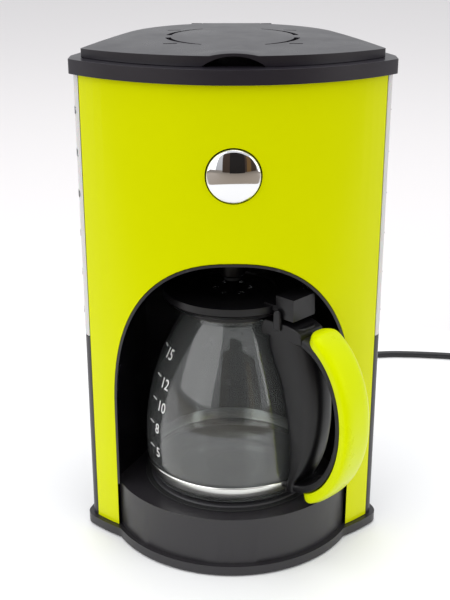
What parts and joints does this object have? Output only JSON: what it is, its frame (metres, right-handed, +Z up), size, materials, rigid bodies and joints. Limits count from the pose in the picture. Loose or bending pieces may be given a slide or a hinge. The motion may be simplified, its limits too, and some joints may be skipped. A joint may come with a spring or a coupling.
{
  "type": "drip coffee maker",
  "caption": "Drip coffee maker with a curved coloured front, arched niche, glass carafe with handle, hinged lid and push button.",
  "frame": {"origin": "on the table, under the centre of the machine's bounding box without its lead", "axes": "+Z up, the front panel and the carafe face -Y, +X is the machine's right-hand side seen from the front"},
  "size_m": [0.4396, 0.4905, 0.3551],
  "materials": {
    "black_abs": "satin moulded ABS",
    "black_gloss": "glossy moulded ABS",
    "green_panel": "gloss",
    "green_grip": "satin",
    "grey_plastic": "satin",
    "black_pp": "satin polypropylene",
    "gauge_plastic": "translucent moulding",
    "tank_plastic": "natural polypropylene",
    "rubber_black": "matte",
    "silicone_red": "matte silicone",
    "silicone_white": "matte silicone",
    "screw_steel": "zinc plated",
    "mirror_chrome": "polished",
    "band_steel": "polished stainless steel",
    "plate_coat": "non-stick coating",
    "cast_alu": "as cast",
    "sheet_steel": "galvanised",
    "nylon_white": "moulded nylon",
    "glass_clear": "clear borosilicate",
    "mesh_gold": "fine woven mesh",
    "spring_steel": "bright",
    "wire_red": "silicone insulation",
    "cord_pvc": "satin PVC",
    "brass_blade": "plain"
  },
  "bodies": {
    "housing": {"base_shell": "black_abs", "bottom_cover": "black_pp", "feet": "rubber_black", "base_screws": "screw_steel", "front_panel": "green_panel", "niche_liner": "black_gloss", "rear_shell": "black_abs", "gauge_window_left": "gauge_plastic", "gauge_window_right": "gauge_plastic", "top_rim": "grey_plastic", "water_tank": "tank_plastic", "warming_plate": "plate_coat", "plate_seal": "rubber_black", "heating_element": "cast_alu", "heater_bracket": "sheet_steel", "thermostat": "sheet_steel", "thermal_fuse": "nylon_white", "check_valve_body": "nylon_white", "inlet_hose": "silicone_white", "outlet_hose": "silicone_white", "hose_clamps": "spring_steel", "riser_tube": "nylon_white", "filter_basket": "black_pp", "mesh_filter": "mesh_gold", "drip_stop_spring": "spring_steel", "drip_stop_cap": "black_pp", "lid_hinge_pin": "spring_steel", "button_bezel": "black_abs", "button_spring": "spring_steel", "switch_body": "nylon_white", "terminal_block": "nylon_white", "wiring": "wire_red", "strain_relief": "cord_pvc", "power_cord": "cord_pvc", "cord_coil": "cord_pvc", "mains_plug": "cord_pvc", "plug_blades": "brass_blade"},
    "lid": {"lid": "grey_plastic", "lid_spreader": "grey_plastic"},
    "power_button": {"power_button": "mirror_chrome"},
    "drip_stop": {"drip_stop_valve": "rubber_black"},
    "valve_ball": {"check_valve_ball": "silicone_red"},
    "carafe": {"carafe_glass": "glass_clear", "carafe_band": "band_steel", "carafe_collar": "black_pp", "carafe_handle": "black_pp", "handle_insert": "green_grip", "handle_screws": "screw_steel", "carafe_lid_pin": "spring_steel"},
    "carafe_lid": {"carafe_lid": "black_pp"}
  },
  "joints": [
    {"name": "lid_hinge", "type": "hinge", "parent": "housing", "child": "lid", "pos_m": [0, 0.10341, 0.3493], "axis": [-1, 0, 0], "range_deg": [0, 80]},
    {"name": "button_press", "type": "slide", "parent": "housing", "child": "power_button", "axis": [0, 1, 0], "range_m": [0, 0.003], "stiffness_N_per_m": 300, "deforming": ["button_spring"]},
    {"name": "drip_stop_lift", "type": "slide", "parent": "housing", "child": "drip_stop", "axis": [0, 0, 1], "range_m": [0, 0.004], "stiffness_N_per_m": 200, "deforming": ["drip_stop_spring"]},
    {"name": "check_valve_lift", "type": "slide", "parent": "housing", "child": "valve_ball", "axis": [0, 0, 1], "range_m": [0, 0.003]},
    {"name": "carafe_slide", "type": "slide", "parent": "housing", "child": "carafe", "axis": [0, -1, 0], "range_m": [0, 0.25]},
    {"name": "carafe_lid_hinge", "type": "hinge", "parent": "carafe", "child": "carafe_lid", "pos_m": [0.03813, -0.0564, 0.184], "axis": [0.6947, 0.7193, 0], "range_deg": [0, 4]}
  ]
}
